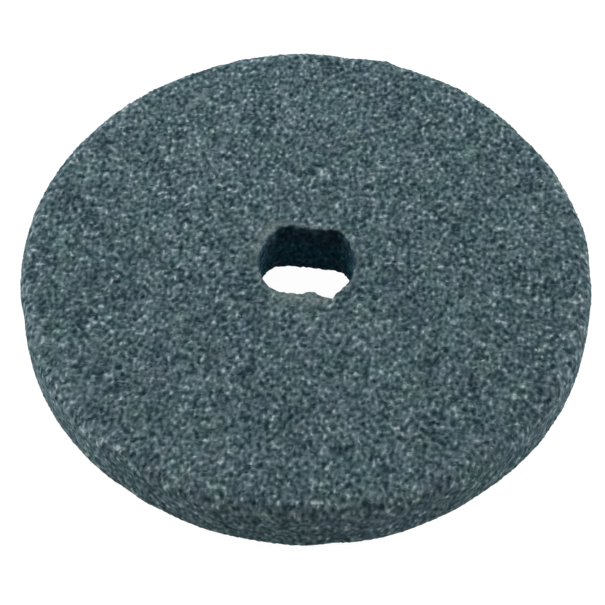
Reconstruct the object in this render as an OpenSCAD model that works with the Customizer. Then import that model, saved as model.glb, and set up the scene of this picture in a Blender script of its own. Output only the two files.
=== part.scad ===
// Small bonded abrasive wheel with a double-D drive hole, lying flat on its lower side.
// The origin is on the hole's axis in the lower side, and the hole's flats run along X.

/* [Wheel] */
// Diameter over the grinding rim
wheel_d = 50; // [30:1:80]
// Thickness from one flat side to the other
wheel_t = 6; // [4:0.5:12]
// Radius that rounds the rim into each flat side
rim_round = 1.25; // [0.2:0.05:1.8]

/* [Drive hole] */
// Diameter of the hole across its round ends
hole_d = 8.4; // [7.8:0.1:12]
// Distance between the hole's two parallel flats
hole_flats = 7.1; // [5:0.1:7.4]
// Corner radius where the flats meet the left round end
left_corner = 1; // [0.3:0.1:1.6]
// Corner radius where the flats meet the right round end
right_corner = 0.3; // [0.3:0.1:1.2]
// Width of the break on the edge of each mouth
mouth_break = 0.1; // [0.05:0.05:0.3]

/* [Moulding faults] */
// Width of the lump on the near flat, at the upper mouth
lump_w = 1.8; // [1:0.1:2.6]
// How far the lump stands proud of the flat
lump_proud = 0.4; // [0.2:0.05:0.6]
// Depth over which the lump fades into the flat
lump_depth = 2.6; // [1:0.1:3.4]
// Offset of the lump to the right of the hole's axis
lump_x = 0.6; // [-1:0.1:1]
// Radius of the crumbled spot in the near right corner, at the upper mouth
chip_r = 0.4; // [0.3:0.05:0.7]
// Offset of the crumbled spot to the right of the flat's end
chip_x = 0.2; // [0:0.05:0.4]
// Depth over which the crumbled spot runs out
chip_depth = 2.2; // [1:0.1:3.4]
// How much wider the round ends are at the lower mouth
flare = 0.45; // [0.2:0.05:0.7]
// Offset of that widening to the left
flare_x = 0.15; // [0:0.05:0.3]
// Depth over which the widening runs out
flare_depth = 1.8; // [1:0.1:2.6]

/* [Hidden] */
$fn = 144;
// Length by which a cutter passes the face that it cuts
overrun = 1;
// Share by which a corner's arc is wider than a tangent one, so that it crosses flat and round cleanly
arc_slack = 0.02;
// How much narrower than the hole the cutter of a mouth's break starts
break_lead = mouth_break / 2;
// Share of the lump's height that its cone starts below the flat's surface
lump_root = 0.25;
wheel_r = wheel_d / 2;
hole_r = hole_d / 2;
half_flats = hole_flats / 2;
// Half the width of each flat, where a sharp corner would be
half_land = sqrt(pow(hole_r, 2) - pow(half_flats, 2));
// Radius whose arc is as wide as the lump and stands as far proud
lump_r = (pow(lump_w / 2, 2) + pow(lump_proud, 2)) / (2 * lump_proud);
// How far inside the flat the middle of the crumbled spot lies
chip_inset = chip_r * 0.75;
// How far inside the round wall the widening's cone ends, and how far inside each flat its sides stay
flare_inset = 0.1;
// How much the widening's radius grows for each millimetre of depth
flare_slope = (flare + flare_x + flare_inset) / flare_depth;

// Middle of the arc that rounds a corner between a flat and a round end
function corner_centre(r) = [
  sqrt(pow(hole_r - r, 2) - pow(half_flats - r, 2)),
  half_flats - r
];

// Half section of the wheel without its hole, with the rim's two round shoulders
module half_section() {
  square([wheel_r - rim_round, wheel_t]);
  translate([0, rim_round])
    square([wheel_r, wheel_t - 2 * rim_round]);
  for (z = [rim_round, wheel_t - rim_round])
    translate([wheel_r - rim_round, z])
      circle(r = rim_round);
}

// What a round corner leaves standing in the first quarter of the hole
module corner_fill(r, depth, grow_low, grow_high) {
  centre = corner_centre(r);
  reach = hole_r + overrun;
  arc_r = r * (1 + arc_slack);
  difference() {
    linear_extrude(height = depth)
      polygon([
        centre,
        [centre.x, reach],
        [reach, reach],
        centre * reach / (hole_r - r)
      ]);
    translate([centre.x, centre.y, 0])
      cylinder(h = depth, r1 = arc_r + grow_low, r2 = arc_r + grow_high);
  }
}

// A stretch of the hole, wider than its nominal outline by a given step at each end
module hole_stretch(depth, grow_low, grow_high) {
  difference() {
    intersection() {
      cylinder(h = depth, r1 = hole_r + grow_low, r2 = hole_r + grow_high);
      rotate([90, 0, 90])
        linear_extrude(height = 4 * hole_r, center = true)
          polygon([
            [-half_flats - grow_low, 0],
            [half_flats + grow_low, 0],
            [half_flats + grow_high, depth],
            [-half_flats - grow_high, depth]
          ]);
    }
    for (side = [0, 1], end = [0, 1])
      mirror([0, side, 0])
        mirror([end, 0, 0])
          corner_fill(end == 0 ? right_corner : left_corner, depth, grow_low, grow_high);
  }
}

// What breaks the edge of a mouth whose face is the XY plane, seen from the hole's inside
module mouth_cutter() {
  translate([0, 0, -mouth_break - break_lead])
    hole_stretch(2 * mouth_break + break_lead, -break_lead, 2 * mouth_break);
}

// What widens the round ends at the lower mouth, and leaves the flats as they are
module round_end_flare() {
  intersection() {
    translate([-flare_x, 0, -overrun])
      cylinder(
        h = flare_depth + overrun,
        r1 = hole_r + flare + flare_slope * overrun,
        r2 = hole_r - flare_x - flare_inset
      );
    cube([4 * hole_r, hole_flats - 2 * flare_inset, 4 * wheel_t], center = true);
  }
}

// The whole hole, with the break at its lower and its upper mouth
module drive_hole() {
  translate([0, 0, -overrun])
    hole_stretch(wheel_t + 2 * overrun, 0, 0);
  mirror([0, 0, 1])
    mouth_cutter();
  translate([0, 0, wheel_t])
    mouth_cutter();
  round_end_flare();
}

// Lump of stuck grain on the near flat, broken at the mouth and fading with depth
module flat_lump() {
  cone_h = (lump_depth - mouth_break) * (1 + lump_root);
  translate([lump_x, lump_proud - half_flats - lump_r, wheel_t]) {
    translate([0, 0, -mouth_break - cone_h])
      cylinder(h = cone_h, r1 = lump_r - lump_proud * (1 + lump_root), r2 = lump_r);
    translate([0, 0, -mouth_break])
      cylinder(h = mouth_break, r1 = lump_r, r2 = lump_r - mouth_break);
  }
}

// Crumbled spot in the near right corner, widest at the upper mouth
module corner_chip() {
  cone_h = chip_depth + overrun;
  translate([half_land + chip_x, chip_inset - half_flats, wheel_t - chip_depth])
    cylinder(h = cone_h, r1 = 0, r2 = chip_r * cone_h / chip_depth);
}

// The bonded wheel, pressed and fired as one piece
module grinding_wheel() {
  color([0.31, 0.39, 0.41])
    difference() {
      union() {
        difference() {
          rotate_extrude()
            half_section();
          drive_hole();
        }
        flat_lump();
      }
      corner_chip();
    }
}

grinding_wheel();
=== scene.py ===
"""A small bonded abrasive wheel with a double-D hole, dressed and lit for a studio picture.

The wheel is one piece: grain and bond pressed and fired together. It is modelled smooth, at the
size of the solid that it stands for, and then given its open, gritty skin. Lengths are in metres.
"""

import logging
import math
from dataclasses import dataclass, field
from enum import Enum

import bpy
import numpy as np
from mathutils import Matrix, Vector


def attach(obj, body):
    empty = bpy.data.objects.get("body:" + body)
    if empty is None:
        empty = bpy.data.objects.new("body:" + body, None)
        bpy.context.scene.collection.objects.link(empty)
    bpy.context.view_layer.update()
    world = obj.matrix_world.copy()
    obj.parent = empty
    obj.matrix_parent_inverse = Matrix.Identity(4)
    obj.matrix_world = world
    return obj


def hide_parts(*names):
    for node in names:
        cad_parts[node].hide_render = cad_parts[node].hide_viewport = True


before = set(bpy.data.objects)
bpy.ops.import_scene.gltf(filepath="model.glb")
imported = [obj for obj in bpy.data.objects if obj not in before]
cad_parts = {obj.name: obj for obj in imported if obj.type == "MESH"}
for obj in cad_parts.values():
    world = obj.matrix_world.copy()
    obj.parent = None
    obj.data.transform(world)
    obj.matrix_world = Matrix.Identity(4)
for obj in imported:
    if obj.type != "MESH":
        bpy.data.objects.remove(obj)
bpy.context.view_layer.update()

MM = 0.001
# Distance within which a cut takes a point as lying on its plane
TINY = 0.001 * MM
# Difference in height within which an edge is level
LEVEL_SLACK = 0.01 * MM
# How far outside the round ends an edge may lie and still be one of the hole's
MOUTH_SLACK = 0.05 * MM
# Bevel profile that rounds an edge with a true arc
ARC = 0.5
NODE = "grinding_wheel"
BODY = "root"

log = logging.getLogger("wheel")

Colour = tuple[float, float, float]


class Lay(Enum):
    """How a displacing texture moves the skin."""

    ALONG_NORMAL = "NORMAL"
    ANY_WAY = "RGB_TO_XYZ"


class Pattern(Enum):
    """What a displacing texture looks like."""

    SWELLS = "slow swells"
    GRAINS = "grains, each moved its own way"
    GAPS = "gaps between the grains"


def srgb(red: int, green: int, blue: int) -> Colour:
    """Turn a display colour into the linear one that a shader takes.

    Args:
        red: Red from 0 to 255.
        green: Green from 0 to 255.
        blue: Blue from 0 to 255.

    Returns:
        The linear colour, from 0 to 1.
    """

    def linear(level: int) -> float:
        """Undo the display curve of one channel."""
        share = level / 255
        return share / 12.92 if share <= 0.04045 else ((share + 0.055) / 1.055) ** 2.4

    return linear(red), linear(green), linear(blue)


def deselect_all() -> None:
    """Leave no object selected."""
    bpy.ops.object.select_all(action="DESELECT")


def pick(obj: bpy.types.Object) -> None:
    """Make one object the only selected one, and the active one.

    Args:
        obj: The object.
    """
    deselect_all()
    obj.select_set(True)
    bpy.context.view_layer.objects.active = obj


def apply_modifier(obj: bpy.types.Object, kind: str, **settings: object) -> None:
    """Add a modifier to an object and apply it.

    Args:
        obj: The object to change.
        kind: The modifier's type.
        **settings: Values for the modifier's properties.
    """
    pick(obj)
    modifier = obj.modifiers.new(kind.lower(), kind)
    for name, value in settings.items():
        setattr(modifier, name, value)
    bpy.ops.object.modifier_apply(modifier=modifier.name)


def join_boolean(obj: bpy.types.Object, tool: bpy.types.Object, operation: str) -> None:
    """Cut a tool out of an object, or fuse it on, and remove the tool.

    Args:
        obj: The object to change.
        tool: The solid to take away or to add.
        operation: DIFFERENCE or UNION.
    """
    apply_modifier(obj, "BOOLEAN", operation=operation, object=tool, solver="EXACT")
    bpy.data.objects.remove(tool)


def select_edges(obj: bpy.types.Object, wanted: np.ndarray) -> None:
    """Select some of an object's edges and enter edit mode on them.

    Args:
        obj: The object.
        wanted: One truth value for each edge.
    """
    pick(obj)
    mesh = obj.data
    for part in (mesh.vertices, mesh.polygons):
        part.foreach_set("select", np.zeros(len(part), bool))
    mesh.edges.foreach_set("select", wanted)
    bpy.context.tool_settings.mesh_select_mode = (False, True, False)
    bpy.ops.object.mode_set(mode="EDIT")


def vertex_places(obj: bpy.types.Object) -> np.ndarray:
    """Read where an object's vertices are.

    Args:
        obj: The object.

    Returns:
        The coordinates, one row for each vertex.
    """
    places = np.empty(len(obj.data.vertices) * 3, np.float32)
    obj.data.vertices.foreach_get("co", places)
    return places.reshape(-1, 3)


def set_places(obj: bpy.types.Object, places: np.ndarray) -> None:
    """Put an object's vertices in new places.

    Args:
        obj: The object.
        places: The coordinates, one row for each vertex.
    """
    obj.data.vertices.foreach_set("co", places.astype(np.float32).reshape(-1))
    obj.data.update()


def add_layer(obj: bpy.types.Object, name: str, values: np.ndarray) -> None:
    """Store one value for each vertex, for a material to read.

    Args:
        obj: The object.
        name: Name of the attribute.
        values: The values.
    """
    layer = obj.data.attributes.new(name, "FLOAT", "POINT")
    layer.data.foreach_set("value", values.astype(np.float32))


def edge_ends(obj: bpy.types.Object) -> np.ndarray:
    """Read where both ends of each edge are.

    Args:
        obj: The object.

    Returns:
        The coordinates, by edge, end and axis.
    """
    ends = np.empty(len(obj.data.edges) * 2, np.int32)
    obj.data.edges.foreach_get("vertices", ends)
    return vertex_places(obj)[ends.reshape(-1, 2)]


@dataclass(frozen=True)
class HoleFault:
    """A spot at the upper mouth where grain stuck or broke out, shaped as an upright cone.

    Attributes:
        across: Its middle's distance to the right of the axis.
        away: Its middle's distance behind the axis.
        radius: Its radius at the upper side.
        low_radius: Its radius where it ends.
        depth: How far below the upper side it ends.
    """

    across: float
    away: float
    radius: float
    low_radius: float
    depth: float


@dataclass
class DriveHole:
    """The double-D hole and its moulding faults.

    Attributes:
        across: Diameter over the round ends.
        flats: Distance between the two flats, with the grain that stands proud of them.
        mouth_break: Width of the break on the edge of each mouth.
        stuck: The lump on the near flat and the grain in the near left corner.
        broken: The crumbled near right corner, the nick in the far flat and the worn far corners.
        flare: How much wider the round ends are at the lower mouth.
        flare_offset: Offset of that widening to the left.
        flare_depth: Depth over which the widening runs out.
        flare_inset: How far inside the round wall it ends, and how far inside the flats it stays.
        overrun: How far a cutter passes the face that it cuts.
        sides: Sides of the hole's cutter before it is cut flat.
        cone_sides: Sides of each cone.
    """

    across: float = 8.4 * MM
    flats: float = 7.04 * MM
    mouth_break: float = 0.05 * MM
    stuck: tuple[HoleFault, ...] = (
        HoleFault(0.8 * MM, -4.31 * MM, 1.21 * MM, 0.81 * MM, 2.6 * MM),
        HoleFault(-2.93 * MM, -4.42 * MM, 1.3 * MM, 1.1 * MM, 2.6 * MM),
    )
    broken: tuple[HoleFault, ...] = (
        HoleFault(2.45 * MM, -3.21 * MM, 0.4 * MM, 0.01 * MM, 2.2 * MM),
        HoleFault(-1.78 * MM, 3.23 * MM, 0.5 * MM, 0.25 * MM, 1.0 * MM),
        HoleFault(-1.93 * MM, 2.32 * MM, 1.4 * MM, 1.15 * MM, 2.0 * MM),
        HoleFault(1.95 * MM, 2.32 * MM, 1.4 * MM, 1.15 * MM, 2.0 * MM),
    )
    flare: float = 0.45 * MM
    flare_offset: float = 0.15 * MM
    flare_depth: float = 1.8 * MM
    flare_inset: float = 0.1 * MM
    overrun: float = 1.0 * MM
    sides: int = 120
    cone_sides: int = 48

    def cutter(self, thickness: float) -> bpy.types.Object:
        """Make the solid that the hole takes out of the blank.

        Args:
            thickness: The wheel's thickness.

        Returns:
            The cutter, which passes both faces.
        """
        deselect_all()
        bpy.ops.mesh.primitive_cylinder_add(
            vertices=self.sides,
            radius=self.across / 2,
            depth=thickness + 2 * self.overrun,
            location=(0, 0, thickness / 2),
        )
        cutter = bpy.context.object
        bpy.ops.object.transform_apply()
        self.trim(cutter, self.flats / 2)
        return cutter

    def cone(
        self,
        radius_low: float,
        radius_high: float,
        depth: float,
        place: Vector,
    ) -> bpy.types.Object:
        """Make an upright cone whose upper end is at a place.

        Args:
            radius_low: Radius at the lower end.
            radius_high: Radius at the upper end.
            depth: Height of the cone.
            place: Middle of the upper end.

        Returns:
            The cone.
        """
        deselect_all()
        bpy.ops.mesh.primitive_cone_add(
            vertices=self.cone_sides,
            radius1=radius_low,
            radius2=radius_high,
            depth=depth,
            location=place - Vector((0, 0, depth / 2)),
        )
        cone = bpy.context.object
        bpy.ops.object.transform_apply()
        return cone

    def fault_cone(self, fault: HoleFault, thickness: float, rise: float) -> bpy.types.Object:
        """Make the cone of a fault.

        Args:
            fault: The fault.
            thickness: The wheel's thickness.
            rise: How far the cone passes the upper side.

        Returns:
            The cone, to add to the wheel or to take away.
        """
        slope = (fault.radius - fault.low_radius) / fault.depth
        place = Vector((fault.across, fault.away, thickness + rise))
        return self.cone(fault.low_radius, fault.radius + slope * rise, fault.depth + rise, place)

    def widening(self) -> bpy.types.Object:
        """Make the cutter that widens the round ends at the lower mouth.

        Returns:
            The cutter, flat where the hole is.
        """
        slope = (self.flare + self.flare_offset + self.flare_inset) / self.flare_depth
        tool = self.cone(
            self.across / 2 + self.flare + slope * self.overrun,
            self.across / 2 - self.flare_offset - self.flare_inset,
            self.flare_depth + self.overrun,
            Vector((-self.flare_offset, 0, self.flare_depth)),
        )
        self.trim(tool, self.flats / 2 - self.flare_inset)
        return tool

    def trim(self, tool: bpy.types.Object, reach: float) -> None:
        """Cut a tool flat along both flats of the hole.

        Args:
            tool: The solid to trim.
            reach: Distance of each cut from the axis.
        """
        pick(tool)
        bpy.ops.object.mode_set(mode="EDIT")
        for side in (-1, 1):
            bpy.ops.mesh.select_all(action="SELECT")
            bpy.ops.mesh.bisect(
                plane_co=(0, side * reach, 0),
                plane_no=(0, side, 0),
                clear_outer=True,
                use_fill=True,
                threshold=TINY,
            )
        bpy.ops.object.mode_set(mode="OBJECT")


@dataclass(frozen=True)
class RimMark:
    """A stretch of the rim that dressing left a little high or low.

    Attributes:
        turn: Where its middle is, in degrees from +X towards +Y.
        spread: How far it reaches to each side, in degrees.
        height: How far it stands out, or in where it is negative.
    """

    turn: float
    spread: float
    height: float


@dataclass(frozen=True)
class RubAndHighlightSpot:
    """A pale place on the upper side, partly worn by handling and partly painted highlight.

    Attributes:
        across: Its middle's distance to the right of the axis.
        away: Its middle's distance behind the axis.
        reach: How far it reaches.
        share: How pale its middle is, from 0 to 1.
    """

    across: float
    away: float
    reach: float
    share: float


@dataclass(frozen=True)
class ShoulderHighlightStretch:
    """A stretch of the rim's upper shoulder where its painted highlight is stronger.

    Attributes:
        turn: Where its middle is, in degrees from +X towards +Y.
        spread: How far it reaches to each side, in degrees.
        share: How much it adds to the painted highlight in its middle, from 0 to 1.
    """

    turn: float
    spread: float
    share: float


@dataclass(frozen=True)
class SkinLayer:
    """A texture that moves the skin.

    Attributes:
        name: Its name.
        pattern: What it looks like.
        size: Width of its features.
        strength: How far its full range moves the skin.
        mid_level: Its value that moves nothing.
        lay: The way in which it moves the skin.
    """

    name: str
    pattern: Pattern
    size: float
    strength: float
    mid_level: float
    lay: Lay = Lay.ALONG_NORMAL


@dataclass(frozen=True)
class FlatSheet:
    """How the skin is laid out flat. Places and lengths on the sheet are shares of its width.

    Attributes:
        radii: Width of the sheet, in radii of the wheel.
        disc_across: Middle of the upper and of the lower side's disc, across the sheet.
        disc_up: Middle of both discs, up the sheet.
        rim_up: Lower edge of the rim's strip.
        hole_up: Lower edge of the hole's strip.
        strip_start: Where both strips start.
        strip_length: Length of both strips.
        strip_stretch: How many times as wide as true both strips are.
        hole_reach: How far outside the hole's outline the skin still goes on the hole's strip.
        hole_end: How far inside both sides of the wheel that strip ends.
    """

    radii: float = 4.2
    disc_across: tuple[float, float] = (0.25, 0.75)
    disc_up: float = 0.74
    rim_up: float = 0.02
    hole_up: float = 0.25
    strip_start: float = 0.04
    strip_length: float = 0.9
    strip_stretch: float = 3
    hole_reach: float = 0.12 * MM
    hole_end: float = 0.15 * MM


@dataclass
class AbrasiveWheel:
    """The whole wheel, from its smooth blank to its gritty skin.

    Attributes:
        diameter: Diameter over the rim.
        thickness: Distance between the two flat sides.
        rim_round: Radius that rounds the rim into each side.
        rim_sides: Sides of the smooth rim.
        rim_steps: Steps that round each of the rim's edges.
        break_steps: Steps that round the break on each mouth's edge.
        hole: The drive hole.
        swells: The skin's slow swells.
        grains: The skin's grains and the gaps between them, in the order that puts them on.
        voxel: Step of the even mesh that the skin is cut from.
        most_faces: Triangles that the finished skin may have.
        rim_worn: How much less the worn rim's grain stands out than elsewhere, from 0 to 1.
        rim_stand: How far the worn rim itself stands out.
        worn_run: How far outside the flat sides the wear is full, in shares of the rounding.
        worn_rise: How far above the rim's wall the wear ends.
        rim_marks: Stretches of the rim that aren't true.
        mark_run: How far inside the rim those marks run out, in times the rounding.
        shade_reach: How far outside the hole's outline the painted shade in the hole ends.
        shade_fade: Width over which it fades there.
        shade_rise: Height over which it sets in above the lower side.
        rub_and_highlight: Pale places, partly worn by handling and partly painted highlight.
        edge_rub_and_highlight: How pale the upper mouth's edge is all round, from 0 to 1, as
            wear and as a painted highlight on the edge.
        edge_out: How far outside the hole's outline that edge is palest.
        edge_spread: How far to each side of that it reaches.
        rub_and_highlight_depth: How far below the upper side it reaches.
        rub_and_highlight_fade: Height over which it fades there.
        shoulder_highlight: How strong the painted highlight on the upper shoulder is all round,
            from 0 to 1.
        shoulder_highlight_stretches: Where that painted highlight is stronger.
        shoulder_highlight_run: Width and height over which it sets in.
        sheet: How the skin is laid out flat.
    """

    diameter: float = 50 * MM
    thickness: float = 6 * MM
    rim_round: float = 1.25 * MM
    rim_sides: int = 360
    rim_steps: int = 8
    break_steps: int = 2
    hole: DriveHole = field(default_factory=DriveHole)
    swells: SkinLayer = SkinLayer("swells", Pattern.SWELLS, 5.0 * MM, 0.16 * MM, 0.4)
    grains: tuple[SkinLayer, ...] = (
        SkinLayer("grains", Pattern.GRAINS, 0.26 * MM, 0.12 * MM, 0.5, Lay.ANY_WAY),
        SkinLayer("gaps", Pattern.GAPS, 0.26 * MM, 0.08 * MM, 0.3),
    )
    voxel: float = 0.14 * MM
    most_faces: int = 192_000
    rim_worn: float = 0.4
    rim_stand: float = 0.015 * MM
    worn_run: float = 0.6
    worn_rise: float = 0.5 * MM
    rim_marks: tuple[RimMark, ...] = (
        RimMark(158, 20, 0.1 * MM),
        RimMark(105, 10, 0.06 * MM),
        RimMark(87.5, 3.5, -0.22 * MM),
        RimMark(79, 2, 0.32 * MM),
        RimMark(63, 9, 0.1 * MM),
        RimMark(42, 5.5, -0.22 * MM),
        RimMark(22, 9, -0.1 * MM),
        RimMark(5, 5.5, -0.21 * MM),
        RimMark(-5, 4, -0.11 * MM),
        RimMark(-31, 2, 0.06 * MM),
        RimMark(-45, 8, -0.1 * MM),
        RimMark(-68, 6, 0.1 * MM),
        RimMark(-78, 1.6, -0.1 * MM),
        RimMark(-84, 4, 0.08 * MM),
        RimMark(-112, 2.5, -0.13 * MM),
        RimMark(-120, 3.5, -0.16 * MM),
        RimMark(-147, 11, 0.1 * MM),
        RimMark(-161, 4, -0.18 * MM),
    )
    mark_run: float = 2
    # Reach, fade and rise of the painted shade on the hole's wall
    shade_reach: float = 0.3 * MM
    shade_fade: float = 0.15 * MM
    shade_rise: float = 0.3 * MM
    # Pale places: partly wear from handling, partly painted highlight
    rub_and_highlight: tuple[RubAndHighlightSpot, ...] = (
        RubAndHighlightSpot(-3.9 * MM, 2.5 * MM, 0.8 * MM, 0.5),
        RubAndHighlightSpot(-3.2 * MM, 3.5 * MM, 0.7 * MM, 0.5),
        RubAndHighlightSpot(-4.5 * MM, 1.0 * MM, 0.7 * MM, 0.3),
        RubAndHighlightSpot(-1.2 * MM, -4.0 * MM, 0.8 * MM, 0.5),
        RubAndHighlightSpot(0.4 * MM, -4.1 * MM, 0.8 * MM, 0.6),
        RubAndHighlightSpot(1.6 * MM, -4.1 * MM, 0.6 * MM, 0.4),
    )
    # The mouth's pale edge: wear and painted highlight
    edge_rub_and_highlight: float = 0.4
    edge_out: float = 0.3 * MM
    edge_spread: float = 0.25 * MM
    rub_and_highlight_depth: float = 0.5 * MM
    rub_and_highlight_fade: float = 0.4 * MM
    # Painted highlight on the rim's upper shoulder
    shoulder_highlight: float = 0.12
    shoulder_highlight_stretches: tuple[ShoulderHighlightStretch, ...] = (
        ShoulderHighlightStretch(-118, 13, 0.35),
        ShoulderHighlightStretch(-52, 14, 0.22),
    )
    shoulder_highlight_run: float = 0.4 * MM
    sheet: FlatSheet = FlatSheet()

    def blank(self) -> bpy.types.Object:
        """Make the smooth disc with its two round shoulders.

        Returns:
            The disc.
        """
        deselect_all()
        bpy.ops.mesh.primitive_cylinder_add(
            vertices=self.rim_sides,
            radius=self.diameter / 2,
            depth=self.thickness,
            location=(0, 0, self.thickness / 2),
        )
        wheel = bpy.context.object
        wheel.name = "abrasive_wheel"
        bpy.ops.object.transform_apply()
        ends = edge_ends(wheel)
        select_edges(wheel, np.abs(ends[:, 0, 2] - ends[:, 1, 2]) < LEVEL_SLACK)
        bpy.ops.mesh.bevel(offset=self.rim_round, segments=self.rim_steps, profile=ARC)
        bpy.ops.object.mode_set(mode="OBJECT")
        return wheel

    def bore(self, wheel: bpy.types.Object) -> None:
        """Cut the drive hole, break its mouths and add its faults.

        Args:
            wheel: The blank.
        """
        join_boolean(wheel, self.hole.cutter(self.thickness), "DIFFERENCE")
        ends = edge_ends(wheel)
        level = np.abs(ends[:, 0, 2] - ends[:, 1, 2]) < LEVEL_SLACK
        height = np.abs(ends[:, 0, 2] - self.thickness / 2)
        at_face = np.abs(height - self.thickness / 2) < LEVEL_SLACK
        radius = np.hypot(ends[..., 0], ends[..., 1]).max(axis=1)
        inner = radius < self.hole.across / 2 + MOUTH_SLACK
        select_edges(wheel, level & at_face & inner)
        bpy.ops.mesh.bevel(offset=self.hole.mouth_break, segments=self.break_steps, profile=ARC)
        bpy.ops.object.mode_set(mode="OBJECT")
        for fault in self.hole.stuck:
            clot = self.hole.fault_cone(fault, self.thickness, 0.0)
            join_boolean(wheel, clot, "UNION")
        for fault in self.hole.broken:
            gap = self.hole.fault_cone(fault, self.thickness, self.hole.overrun)
            join_boolean(wheel, gap, "DIFFERENCE")
        join_boolean(wheel, self.hole.widening(), "DIFFERENCE")

    def roughen(self, wheel: bpy.types.Object) -> None:
        """Give the smooth wheel its skin of grains and pores.

        Args:
            wheel: The smooth wheel.
        """
        apply_modifier(wheel, "REMESH", mode="VOXEL", voxel_size=self.voxel, adaptivity=0)
        log.info("remeshed: %d faces", len(wheel.data.polygons))
        smooth = self.mark_rim(vertex_places(wheel))
        set_places(wheel, smooth)
        normals = np.empty(len(wheel.data.vertices) * 3, np.float32)
        wheel.data.vertices.foreach_get("normal", normals)
        self.displace(wheel, self.swells)
        wavy = vertex_places(wheel)
        for layer in self.grains:
            self.displace(wheel, layer)
        worn = self.wear(smooth)
        places = wavy + (vertex_places(wheel) - wavy) * (1 - self.rim_worn * worn)[:, None]
        relief = np.einsum("ij,ij->i", places - smooth, normals.reshape(-1, 3)) / MM
        places[:, 2] = np.maximum(places[:, 2], 0)
        set_places(wheel, places)
        add_layer(wheel, "relief", relief)
        add_layer(wheel, "worn", worn)
        # Depth in the hole, by which the material paints shade there
        add_layer(wheel, "hole_shade_depth", self.hole_shade_depth(smooth))
        # Where the material paints pale wear and highlight
        add_layer(wheel, "rub_and_highlight", self.rub_and_highlight_share(smooth))
        # Where the material paints a highlight on the upper shoulder
        add_layer(wheel, "pale", self.shoulder_highlighting(smooth))
        log.info("relief: from %.3f to %.3f mm", relief.min(), relief.max())
        wheel.data.calc_loop_triangles()
        share = self.most_faces / len(wheel.data.loop_triangles)
        apply_modifier(wheel, "DECIMATE", ratio=share)
        apply_modifier(wheel, "TRIANGULATE")

    def turned_from(self, places: np.ndarray, turn: float) -> np.ndarray:
        """Measure how far round the axis from a direction each place lies.

        Args:
            places: Coordinates, one row each.
            turn: The direction, in degrees from +X towards +Y.

        Returns:
            The angle, from -180 to 180 degrees.
        """
        turns = np.degrees(np.arctan2(places[:, 1], places[:, 0]))
        return (turns - turn + 180) % 360 - 180

    def on_shoulder(self, places: np.ndarray, run: float) -> np.ndarray:
        """Tell the rim and its round shoulders from the flat sides.

        Args:
            places: Vertex coordinates of the smooth wheel.
            run: How far outside the flat sides a place is fully on the shoulder.

        Returns:
            A share from 0, on the flat sides, to 1.
        """
        radius = np.hypot(places[:, 0], places[:, 1])
        return np.clip((radius - self.diameter / 2 + self.rim_round) / run, 0, 1)

    def wear(self, places: np.ndarray) -> np.ndarray:
        """Work out how worn each place of the rim's wall and its lower shoulder is.

        Args:
            places: Vertex coordinates of the smooth wheel.

        Returns:
            A share from 0, on the flat sides and high on the upper shoulder, to 1.
        """
        above_wall = (places[:, 2] - self.thickness + self.rim_round) / self.worn_rise
        on_shoulder = self.on_shoulder(places, self.worn_run * self.rim_round)
        return on_shoulder * np.clip(1 - above_wall, 0, 1)

    def mark_rim(self, places: np.ndarray) -> np.ndarray:
        """Move the rim in and out where it isn't true.

        Args:
            places: Vertex coordinates of the smooth wheel.

        Returns:
            The moved coordinates.
        """
        radius = np.hypot(places[:, 0], places[:, 1])
        near = np.clip(1 - (self.diameter / 2 - radius) / (self.mark_run * self.rim_round), 0, 1)
        step = self.rim_stand * self.wear(places)
        for mark in self.rim_marks:
            off = self.turned_from(places, mark.turn) / mark.spread
            step += mark.height * np.exp(-(off**2))
        moved = places.copy()
        moved[:, :2] *= (1 + near * step / np.maximum(radius, MM))[:, None]
        return moved

    def beyond_hole(self, places: np.ndarray) -> np.ndarray:
        """Measure how far from the hole's outline each place lies.

        Args:
            places: Coordinates, one row each.

        Returns:
            The distance, above 0 outside the hole.
        """
        radius = np.hypot(places[:, 0], places[:, 1])
        return np.maximum(radius - self.hole.across / 2, np.abs(places[:, 1]) - self.hole.flats / 2)

    def hole_shade_depth(self, places: np.ndarray) -> np.ndarray:
        """Work out how deep below the upper mouth each place of the hole's wall lies.

        The material paints shade on the hole's wall by this depth.

        Args:
            places: Vertex coordinates of the smooth wheel.

        Returns:
            A share from 0, on the open sides, to 1 at half the wheel's thickness and below.
        """
        on_wall = np.clip((self.shade_reach - self.beyond_hole(places)) / self.shade_fade, 0, 1)
        above_floor = np.clip(places[:, 2] / self.shade_rise, 0, 1)
        depth = (self.thickness - places[:, 2]) / (self.thickness / 2)
        return on_wall * above_floor * np.clip(depth, 0, 1)

    def rub_and_highlight_share(self, places: np.ndarray) -> np.ndarray:
        """Work out how pale each place of the upper side is, as wear and as painted highlight.

        Args:
            places: Vertex coordinates of the smooth wheel.

        Returns:
            A share from 0 to 1.
        """
        from_edge = (self.beyond_hole(places) - self.edge_out) / self.edge_spread
        total = self.edge_rub_and_highlight * np.exp(-(from_edge**2))
        for spot in self.rub_and_highlight:
            off = np.hypot(places[:, 0] - spot.across, places[:, 1] - spot.away)
            total += spot.share * np.exp(-((off / spot.reach) ** 2))
        above = (places[:, 2] - self.thickness + self.rub_and_highlight_depth) / self.rub_and_highlight_fade
        return np.clip(total, 0, 1) * np.clip(above, 0, 1)

    def shoulder_highlighting(self, places: np.ndarray) -> np.ndarray:
        """Work out the painted highlight at each place of the rim's upper shoulder.

        Args:
            places: Vertex coordinates of the smooth wheel.

        Returns:
            A share from 0, on the flat sides and the rim's wall, to 1.
        """
        total = np.full(len(places), self.shoulder_highlight)
        for stretch in self.shoulder_highlight_stretches:
            off = self.turned_from(places, stretch.turn) / stretch.spread
            total += stretch.share * np.exp(-(off**2))
        above_wall = (places[:, 2] - self.thickness + self.rim_round) / self.shoulder_highlight_run
        return total * np.clip(above_wall, 0, 1) * self.on_shoulder(places, self.shoulder_highlight_run)

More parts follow.
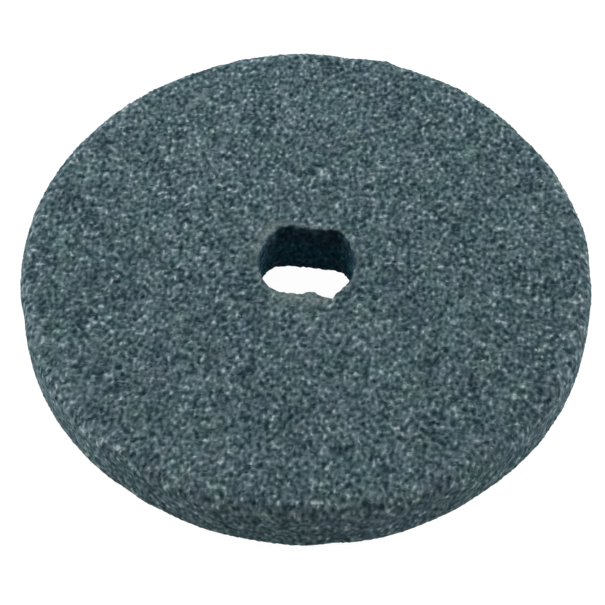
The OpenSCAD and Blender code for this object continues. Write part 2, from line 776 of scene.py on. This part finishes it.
    def displace(self, wheel: bpy.types.Object, layer: SkinLayer) -> None:
        """Move the skin by a texture.

        Args:
            wheel: The wheel with an even mesh.
            layer: The texture and how it moves the skin.
        """
        kind = "CLOUDS" if layer.pattern is Pattern.SWELLS else "VORONOI"
        texture = bpy.data.textures.new(layer.name, kind)
        texture.noise_scale = layer.size
        if layer.pattern is Pattern.GRAINS:
            texture.noise_intensity = 1
            texture.color_mode = "POSITION"
        if layer.pattern is Pattern.GAPS:
            texture.noise_intensity = 1
            texture.weight_1 = -1
            texture.weight_2 = 1
        apply_modifier(
            wheel,
            "DISPLACE",
            texture=texture,
            texture_coords="LOCAL",
            direction=layer.lay.value,
            strength=layer.strength,
            mid_level=layer.mid_level,
        )
        bpy.data.textures.remove(texture)

    def unwrap(self, wheel: bpy.types.Object) -> None:
        """Lay the skin out flat: two discs, the rim's strip and the hole's strip.

        Args:
            wheel: The finished wheel.
        """
        mesh = wheel.data
        places = vertex_places(wheel)
        corners = np.empty(len(mesh.loops), np.int32)
        mesh.loops.foreach_get("vertex_index", corners)
        faces = corners.reshape(-1, 3)
        middle = places[faces].mean(axis=1)
        radius = np.hypot(middle[:, 0], middle[:, 1])
        reach = self.diameter / 2
        height = middle[:, 2] - self.thickness / 2
        out = radius - (reach - self.rim_round)
        up = np.abs(height) - (self.thickness / 2 - self.rim_round)
        on_rim = (out > up) & (out > 0)
        below_mouth = np.abs(height) < self.thickness / 2 - self.sheet.hole_end
        in_hole = (self.beyond_hole(middle) < self.sheet.hole_reach) & below_mouth
        uv = np.zeros((len(faces), 3, 2), np.float32)
        pitch = 1 / (self.sheet.radii * reach)
        for sign, across in zip((1, -1), self.sheet.disc_across):
            mask = ~on_rim & ~in_hole & (height * sign > 0)
            flat = places[faces[mask]][..., :2] * pitch
            flat[..., 0] *= sign
            uv[mask] = flat + (across, self.sheet.disc_up)
        for mask, base in ((on_rim, self.sheet.rim_up), (in_hole, self.sheet.hole_up)):
            spots = places[faces[mask]]
            turn = np.arctan2(spots[..., 1], spots[..., 0]) / (2 * math.pi)
            # A face across the seam stays on the side of its first corner
            jump = turn - turn[:, :1]
            turn -= np.where(jump > 0.5, 1, 0) - np.where(jump < -0.5, 1, 0)
            uv[mask, :, 0] = (turn + 0.5) * self.sheet.strip_length + self.sheet.strip_start
            uv[mask, :, 1] = spots[..., 2] * pitch * self.sheet.strip_stretch + base
        layer = mesh.uv_layers.new(name="OFBake")
        layer.data.foreach_set("uv", uv.reshape(-1))

    def build(self) -> bpy.types.Object:
        """Make the finished wheel.

        Returns:
            The wheel, standing for its solid.
        """
        wheel = self.blank()
        self.bore(wheel)
        log.info("smooth wheel: %d faces", len(wheel.data.polygons))
        self.roughen(wheel)
        pick(wheel)
        bpy.ops.object.shade_flat()
        self.unwrap(wheel)
        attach(wheel, BODY)
        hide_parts(NODE)
        log.info("%s: %d triangles", wheel.name, len(wheel.data.polygons))
        return wheel


class Board:
    """The nodes of a material or of the world."""

    def __init__(self, owner: bpy.types.Material | bpy.types.World) -> None:
        """Start without nodes.

        Args:
            owner: The material or the world.
        """
        owner.use_nodes = True
        self.tree = owner.node_tree
        self.tree.nodes.clear()

    def add(self, kind: str, inputs: dict | None = None, **settings: object) -> bpy.types.Node:
        """Add a node.

        Args:
            kind: The node's type without its ShaderNode prefix.
            inputs: Value or output socket for each input, by name or number.
            **settings: Values for the node's properties.

        Returns:
            The node.
        """
        node = self.tree.nodes.new("ShaderNode" + kind)
        for name, value in settings.items():
            setattr(node, name, value)
        for key, value in (inputs or {}).items():
            if isinstance(value, bpy.types.NodeSocket):
                self.tree.links.new(value, node.inputs[key])
            else:
                node.inputs[key].default_value = value
        return node

    def ramp(
        self,
        factor: bpy.types.NodeSocket,
        stops: tuple[tuple[float, Colour], ...],
    ) -> bpy.types.NodeSocket:
        """Add a colour ramp.

        Args:
            factor: Where on the ramp to read.
            stops: Place and colour of each stop.

        Returns:
            The ramp's colour.
        """
        node = self.add("ValToRGB", {"Fac": factor})
        elements = node.color_ramp.elements
        while len(elements) < len(stops):
            elements.new(0.5)
        for element, (place, colour) in zip(elements, stops):
            element.position = place
            element.color = (*colour, 1)
        return node.outputs["Color"]

    def math(
        self,
        operation: str,
        first: object,
        second: object,
        clamp: bool = False,
    ) -> bpy.types.NodeSocket:
        """Add a sum on two values.

        Args:
            operation: What to do.
            first: The first value or socket.
            second: The second value or socket.
            clamp: Whether the result stays from 0 to 1.

        Returns:
            The result.
        """
        node = self.add("Math", {0: first, 1: second}, operation=operation, use_clamp=clamp)
        return node.outputs[0]

    def blend(self, how: str, share: object, first: object, second: object) -> bpy.types.NodeSocket:
        """Blend two colours.

        Args:
            how: The blend type.
            share: How much the second colour counts, from 0 to 1.
            first: The first colour.
            second: The second colour.

        Returns:
            The blended colour.
        """
        inputs = {"Factor": share, 6: first, 7: second}
        return self.add("Mix", inputs, data_type="RGBA", blend_type=how).outputs[2]

    def noise(self, place: bpy.types.NodeSocket, period: float, detail: float) -> bpy.types.Node:
        """Add a smooth noise.

        Args:
            place: The coordinates.
            period: Width of its features.
            detail: How many finer layers it has.

        Returns:
            The node.
        """
        return self.add("TexNoise", {"Vector": place, "Scale": 1 / period, "Detail": detail})

    def attribute(self, name: str) -> bpy.types.NodeSocket:
        """Read one of the piece's own values, by its name."""
        return self.add("Attribute", attribute_name=name).outputs["Fac"]


@dataclass(frozen=True)
class BondedGrain:
    """The finish of fired silicon carbide grain in its glassy bond.

    Attributes:
        grain: Width of one grain.
        stretch: How long the pattern is along each axis, as grains that stand proud look.
        fine_period: Width of the noise that blurs the grains, in grains.
        patch_period: Width of the lighter and darker patches, in grains.
        patch_detail: How many finer layers both kinds of patches have.
        tint_period: Width of the greener and bluer patches, in grains.
        cell_share: How much each grain's own level counts.
        fine_share: How much the fine noise counts.
        relief_shading_share: How much it counts whether a place stands proud, as painted shade
        in the hollows and painted light on proud grains.
        patch_share: How much the patches count.
        shoulder_highlight_share: How much the painted highlight on the upper shoulder counts.
        level_drop: What is taken off the sum of those levels.
        deepest: How far below the smooth skin the painted shade in a pore is darkest, in
            millimetres.
        proudest: How far above the smooth skin the painted light on a grain is brightest,
            in millimetres.
        middle: The level of a plain grain.
        rim_calm: How much of the difference from that level the worn rim loses.
        tint: How far each colour goes up and down with the tint's patches.
        rub_and_highlight_least: How much the pale wear and painted highlight show on the
        darkest grains.
        bump: How strongly the grains' rounding shades them.
        bump_height: Height of that rounding.
        roughness: Roughness of the grains.
        gloss: Specular level of the grains.
        rub_and_highlight: Colour of the pale places, partly worn grain and partly painted
        highlight.
        tones: Level and colour of the open pores, of grains that are turned away, of the
        middle grains, of bright facets and of the few glinting ones, which are painted glints.
        hole_shade: Painted shade in the hole: what is left of each colour on the open sides,
        below the hole's mouth and deep in the hole, each with the depth at which it holds.
    """

    grain: float = 0.29 * MM
    stretch: tuple[float, float, float] = (1.0, 1.32, 1.4)
    fine_period: float = 1.25
    patch_period: float = 6.0
    patch_detail: float = 3.0
    tint_period: float = 8.0
    cell_share: float = 0.43
    fine_share: float = 0.77
    # Painted shade in the hollows and painted light on proud grains
    relief_shading_share: float = 0.15
    patch_share: float = 0.17
    # Painted highlight on the rim's upper shoulder
    shoulder_highlight_share: float = 0.25
    level_drop: float = 0.19
    deepest: float = 0.16
    proudest: float = 0.02
    middle: float = 0.54
    rim_calm: float = 0.1
    tint: float = 0.12
    rub_and_highlight_least: float = 0.25
    bump: float = 0.5
    bump_height: float = 0.08 * MM
    roughness: float = 0.75
    gloss: float = 0.04
    # Colour of the pale wear and of the painted highlight round the mouth
    rub_and_highlight: Colour = srgb(130, 143, 142)
    tones: tuple[tuple[float, Colour], ...] = (
        (0.16, srgb(18, 40, 48)),
        (0.38, srgb(47, 68, 75)),
        (0.56, srgb(73, 94, 99)),
        (0.8, srgb(109, 129, 134)),
        # Painted glints on the few brightest grains
        (1.0, srgb(168, 185, 188)),
    )
    # Painted shade in the hole, darker below the mouth and bluer deep down
    hole_shade: tuple[tuple[float, Colour], ...] = (
        (0.0, (1.0, 1.0, 1.0)),
        (0.07, (0.26, 0.41, 0.52)),
        (0.5, (0.26, 0.41, 0.52)),
        (0.85, (0.35, 0.82, 1.0)),
    )

    def material(self) -> bpy.types.Material:
        """Make the material.

        Returns:
            The material, on the piece's own coordinates.
        """
        material = bpy.data.materials.new("bonded_grain")
        board = Board(material)
        place = board.add("TexCoord").outputs["Object"]
        inputs = {"Vector": place, "Scale": self.stretch}
        place = board.add("Mapping", inputs, vector_type="TEXTURE").outputs["Vector"]
        inputs = {"Vector": place, "Scale": 1 / self.grain, "Smoothness": 1.0}
        cells = board.add("TexVoronoi", inputs, feature="SMOOTH_F1")
        own = board.add("SeparateColor", {"Color": cells.outputs["Color"]})
        level = self.level(board, place, own.outputs["Red"])
        colour = self.tinted(board, place, board.ramp(level, self.tones))
        # Pale wear and painted highlight round the mouth, more on some grains than others
        share = board.math("ADD", self.rub_and_highlight_least, own.outputs["Green"], clamp=True)
        share = board.math("MULTIPLY", board.attribute("rub_and_highlight"), share)
        colour = board.blend("MIX", share, colour, (*self.rub_and_highlight, 1))
        # Painted shade in the hole, by depth
        hole_shade = board.ramp(board.attribute("hole_shade_depth"), self.hole_shade)
        colour = board.blend("MULTIPLY", 1.0, colour, hole_shade)
        inputs = {
            "Height": cells.outputs["Distance"],
            "Strength": self.bump,
            "Distance": self.bump_height,
        }
        bump = board.add("Bump", inputs, invert=True)
        inputs = {
            "Base Color": colour,
            "Roughness": self.roughness,
            "Specular IOR Level": self.gloss,
            "Normal": bump.outputs["Normal"],
        }
        shader = board.add("BsdfPrincipled", inputs)
        board.add("OutputMaterial", {"Surface": shader.outputs[0]})
        return material

    def level(
        self,
        board: Board,
        place: bpy.types.NodeSocket,
        cell: bpy.types.NodeSocket,
    ) -> bpy.types.NodeSocket:
        """Work out how light each place is, from its grain, the noises and its relief.

        Args:
            board: The material's nodes.
            place: The coordinates.
            cell: Each grain's own level.

        Returns:
            The level, mostly from 0 to 1.
        """
        fine = board.noise(place, self.fine_period * self.grain, 0.0).outputs["Fac"]
        patches = board.noise(place, self.patch_period * self.grain, self.patch_detail).outputs["Fac"]
        # Painted shade in the hollows and painted light on proud grains, from the relief
        inputs = {
            "Value": board.attribute("relief"),
            "From Min": -self.deepest,
            "From Max": self.proudest,
        }
        height = board.add("MapRange", inputs).outputs["Result"]
        level = board.math("MULTIPLY", cell, self.cell_share)
        for part, share in (
            (fine, self.fine_share),
            (height, self.relief_shading_share),
            (patches, self.patch_share),
            # Painted highlight on the rim's upper shoulder
            (board.attribute("pale"), self.shoulder_highlight_share),
        ):
            level = board.math("ADD", level, board.math("MULTIPLY", part, share))
        off = board.math("SUBTRACT", level, self.level_drop + self.middle)
        lost = board.math("MULTIPLY", board.attribute("worn"), self.rim_calm)
        kept = board.math("MULTIPLY", off, board.math("SUBTRACT", 1.0, lost))
        return board.math("ADD", kept, self.middle)

    def tinted(
        self,
        board: Board,
        place: bpy.types.NodeSocket,
        colour: bpy.types.NodeSocket,
    ) -> bpy.types.NodeSocket:
        """Vary a colour a little from patch to patch.

        Args:
            board: The material's nodes.
            place: The coordinates.
            colour: The colour to vary.

        Returns:
            The varied colour.
        """
        patches = board.noise(place, self.tint_period * self.grain, self.patch_detail)
        tint = board.add("MapRange", {"Vector": patches.outputs["Color"]}, data_type="FLOAT_VECTOR")
        tint.inputs["To Min"].default_value = (1 - self.tint,) * 3
        tint.inputs["To Max"].default_value = (1 + self.tint,) * 3
        return board.blend("MULTIPLY", 1.0, colour, tint.outputs["Vector"])


@dataclass(frozen=True)
class Lamp:
    """A soft square lamp that points at the wheel.

    Attributes:
        name: Its name.
        turn: Angle from the front, to the right, in degrees.
        rise: Angle above the floor, in degrees.
        distance: Distance from the wheel.
        size: Its width.
        level: Share of full light that it gives a surface facing it.
    """

    name: str
    turn: float
    rise: float
    distance: float
    size: float
    level: float


@dataclass
class Studio:
    """The floor, the lights and the camera.

    Attributes:
        turn: How far round the wheel the camera stands, in degrees.
        rise: How high above the floor the camera looks from, in degrees.
        distance: Distance from the camera to the middle of the wheel's lower side.
        aim: The point on the floor in the middle of the picture.
        lens: Focal length, in millimetres.
        sensor: Width of the sensor, in millimetres.
        clip_start: Distance from the camera at which the picture begins.
        floor_size: Width of the floor.
        floor_own: Grey of the floor as the wheel sees it.
        floor_keeps: Grey that catches the wheel's shadow, as the camera sees it.
        floor_white: Strength of the white below that grey.
        around: Strength of the light from all round.
        lamps: The lamps.
    """

    turn: float = 6.55
    rise: float = 55.02
    distance: float = 162.1 * MM
    aim: Vector = field(default_factory=lambda: Vector((-0.33, -0.28, 0)) * MM)
    lens: float = 107.2
    sensor: float = 36.0
    clip_start: float = 1.0 * MM
    floor_size: float = 2.0
    floor_own: float = 0.8
    floor_keeps: float = 0.1
    floor_white: float = 0.975
    around: float = 0.12
    lamps: tuple[Lamp, ...] = (
        Lamp("key", -160, 50, 0.17, 0.14, 0.6),
        Lamp("front", 0, 8, 0.45, 0.15, 0.17),
        Lamp("left", -100, 15, 0.45, 0.25, 0.93),
        Lamp("right", 108, 15, 0.45, 0.25, 0.77),
    )

    def place(self, turn: float, rise: float, distance: float) -> Vector:
        """Work out a point round the wheel.

        Args:
            turn: Angle from the front, to the right, in degrees.
            rise: Angle above the floor, in degrees.
            distance: Distance from the middle of the lower side.

        Returns:
            The point.
        """
        turn, rise = math.radians(turn), math.radians(rise)
        flat = Vector((math.sin(turn), -math.cos(turn), 0)) * math.cos(rise)
        return (flat + Vector((0, 0, math.sin(rise)))) * distance

    def camera(self) -> None:
        """Add the camera and make it the scene's own."""
        data = bpy.data.cameras.new("camera")
        data.lens = self.lens
        data.sensor_width = self.sensor
        data.clip_start = self.clip_start
        camera = bpy.data.objects.new("camera", data)
        camera.location = self.place(self.turn, self.rise, self.distance)
        camera.rotation_euler = (self.aim - camera.location).to_track_quat("-Z", "Y").to_euler()
        bpy.context.scene.collection.objects.link(camera)
        bpy.context.scene.camera = camera

    def hang(self, lamp: Lamp) -> None:
        """Add a lamp to the scene.

        Args:
            lamp: The lamp.
        """
        data = bpy.data.lights.new(lamp.name, "AREA")
        data.size = lamp.size
        data.energy = lamp.level * math.pi**2 * lamp.distance**2
        obj = bpy.data.objects.new(lamp.name, data)
        obj.location = self.place(lamp.turn, lamp.rise, lamp.distance)
        obj.rotation_euler = (-obj.location).to_track_quat("-Z", "Y").to_euler()
        bpy.context.scene.collection.objects.link(obj)

    def grey(self, level: float) -> tuple[float, float, float, float]:
        """Make a plain grey, from 0 to 1."""
        return level, level, level, 1.0

    def floor(self) -> None:
        """Lay the pale floor, which keeps the wheel's shadow."""
        deselect_all()
        bpy.ops.mesh.primitive_plane_add(size=self.floor_size)
        floor = bpy.context.object
        floor.name = "floor"
        material = bpy.data.materials.new("pale_floor")
        board = Board(material)
        seen = self.seen(board)
        own = board.add("BsdfDiffuse", {"Color": self.grey(self.floor_own)})
        keeps = board.add("BsdfDiffuse", {"Color": self.grey(self.floor_keeps)})
        white = board.add("Emission", {"Color": self.grey(1.0), "Strength": self.floor_white})
        shown = board.add("AddShader", {0: keeps.outputs[0], 1: white.outputs[0]})
        mix = board.add("MixShader", {0: seen, 1: own.outputs[0], 2: shown.outputs[0]})
        board.add("OutputMaterial", {"Surface": mix.outputs[0]})
        floor.data.materials.append(material)

    def seen(self, board: Board) -> bpy.types.NodeSocket:
        """Tell the rays that show a thing from those that only light others.

        Args:
            board: The nodes of the material or the world.

        Returns:
            A value that is 1 for the rays that show it.
        """
        path = board.add("LightPath").outputs
        straight = board.math("MAXIMUM", path["Is Camera Ray"], path["Is Glossy Ray"])
        return board.math("MAXIMUM", straight, path["Is Transmission Ray"])

    def world(self) -> None:
        """Set the plain light from all round, and the white behind the floor."""
        world = bpy.data.worlds.new("studio")
        board = Board(world)
        seen = self.seen(board)
        around = board.add("Background", {"Color": self.grey(1.0), "Strength": self.around})
        behind = board.add("Background", {"Color": self.grey(1.0), "Strength": 1.0})
        mix = board.add("MixShader", {0: seen, 1: around.outputs[0], 2: behind.outputs[0]})
        board.add("OutputWorld", {"Surface": mix.outputs[0]})
        bpy.context.scene.world = world

    def build(self) -> None:
        """Set up the whole studio."""
        self.camera()
        self.floor()
        self.world()
        for lamp in self.lamps:
            self.hang(lamp)
        bpy.context.scene.view_settings.view_transform = "Standard"


def main() -> None:
    """Build the wheel and its studio, and note the sizes."""
    logging.basicConfig(level=logging.INFO, format="%(message)s")
    Studio().build()
    wheel = AbrasiveWheel().build()
    wheel.data.materials.clear()
    wheel.data.materials.append(BondedGrain().material())


if __name__ == "__main__":
    main()
